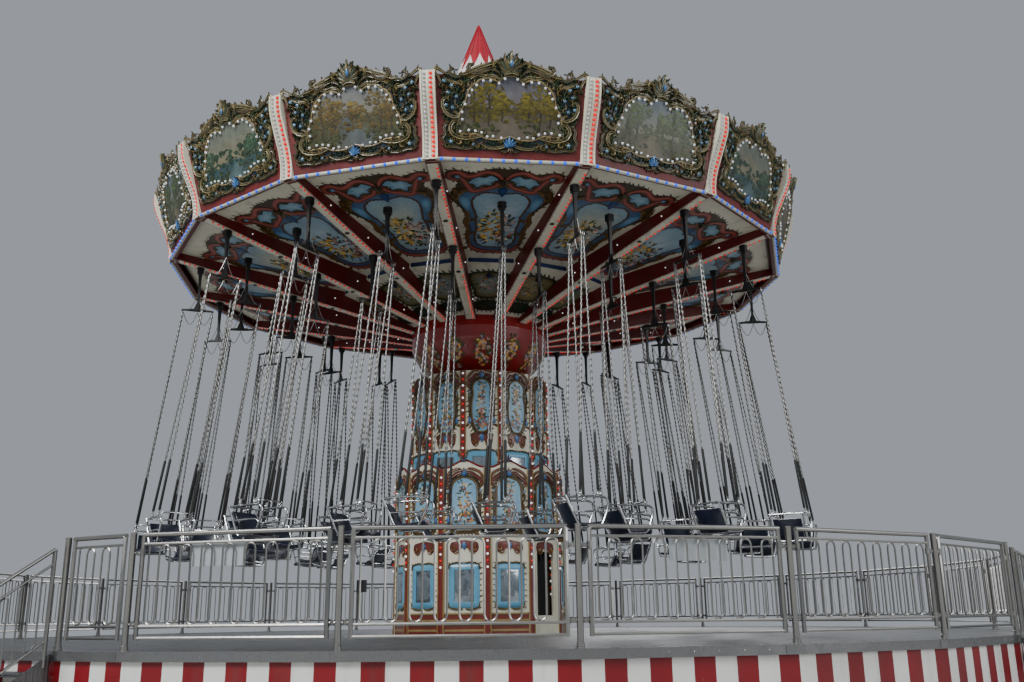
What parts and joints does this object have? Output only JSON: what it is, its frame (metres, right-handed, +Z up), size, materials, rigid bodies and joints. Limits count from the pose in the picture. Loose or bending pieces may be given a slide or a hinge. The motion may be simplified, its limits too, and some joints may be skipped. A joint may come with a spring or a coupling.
{
  "type": "chair swing ride",
  "caption": "Fairground chair swing ride: a fenced round deck, a telescoping centre tower and a tilting, turning crown with carved boards, lamps and chairs on chains.",
  "frame": {"origin": "on the tower's axis, at the foot of the pedestal on the ground", "axes": "+Z up along the tower's axis; -Y is the side the picture shows"},
  "size_m": [15.6959, 15.6958, 11.936],
  "materials": {
    "dark_steel": "black gloss paint on steel",
    "tread_plate": "dull grey raised-pattern sheet",
    "striped_board": "red and white stripes, satin",
    "stainless_tube": "polished tube",
    "cream_panel": "cream paint with ornament, satin",
    "crimson_paint": "crimson gloss paint",
    "maroon_board": "maroon paint with ornament, satin",
    "roof_canvas": "coated canvas",
    "sweep_paint": "cream paint with red sides, satin",
    "ivory_panel": "ivory paint with ornament, satin",
    "chrome_tube": "chrome plate",
    "navy_seat": "moulded, semi-gloss",
    "chain_steel": "galvanised chain",
    "black_hose": "matt hose",
    "gold_carving": "gold paint on carving",
    "lamp_glass": "pearl lamp caps",
    "mirror_pane": "silvered glass"
  },
  "bodies": {
    "base": {"chassis": "dark_steel", "mast_socket": "dark_steel", "deck_1": "tread_plate", "deck_2": "tread_plate", "skirt_1": "striped_board", "skirt_2": "striped_board", "skirt_3": "striped_board", "fence_1": "stainless_tube", "fence_2": "stainless_tube", "fence_3": "stainless_tube", "fence_4": "stainless_tube", "fence_5": "stainless_tube", "fence_6": "stainless_tube", "lower_wall_1": "cream_panel", "lower_wall_2": "cream_panel", "lower_wall_3": "cream_panel", "lower_wall_4": "cream_panel", "entry_stair": "stainless_tube", "exit_stair": "stainless_tube"},
    "column": {"mast": "dark_steel", "upper_housing": "cream_panel"},
    "tilt": {"tilt_head": "dark_steel"},
    "crown": {"hub": "dark_steel", "bowl": "crimson_paint", "rounding_boards_1": "maroon_board", "rounding_boards_2": "maroon_board", "rounding_boards_3": "maroon_board", "rounding_boards_4": "maroon_board", "roof": "roof_canvas", "spire": "crimson_paint", "sweep_01": "sweep_paint", "sweep_02": "sweep_paint", "sweep_03": "sweep_paint", "sweep_04": "sweep_paint", "sweep_05": "sweep_paint", "sweep_06": "sweep_paint", "sweep_07": "sweep_paint", "sweep_08": "sweep_paint", "sweep_09": "sweep_paint", "sweep_10": "sweep_paint", "sweep_11": "sweep_paint", "sweep_12": "sweep_paint", "sweep_13": "sweep_paint", "sweep_14": "sweep_paint", "sweep_15": "sweep_paint", "sweep_16": "sweep_paint", "ceiling_1": "ivory_panel", "ceiling_2": "ivory_panel", "ceiling_3": "ivory_panel", "ceiling_4": "ivory_panel", "ceiling_5": "ivory_panel", "ceiling_6": "ivory_panel", "ceiling_7": "ivory_panel", "ceiling_8": "ivory_panel"}
  },
  "joints": [
    {"name": "column_lift", "type": "slide", "parent": "base", "child": "column", "axis": [0, 0, 1], "range_m": [0, 2]},
    {"name": "crown_tilt", "type": "hinge", "parent": "column", "child": "tilt", "pos_m": [0, 0, 5.979], "axis": [1, 0, 0], "range_deg": [0, 12.1]},
    {"name": "crown_turn", "type": "hinge", "parent": "tilt", "child": "crown", "pos_m": [0, 0, 5.979], "axis": [0, 0, 1], "continuous": true}
  ],
  "couplings": [
    {"joint": "crown_tilt", "follows": "column_lift", "rad_per_m": 0.10472}
  ]
}
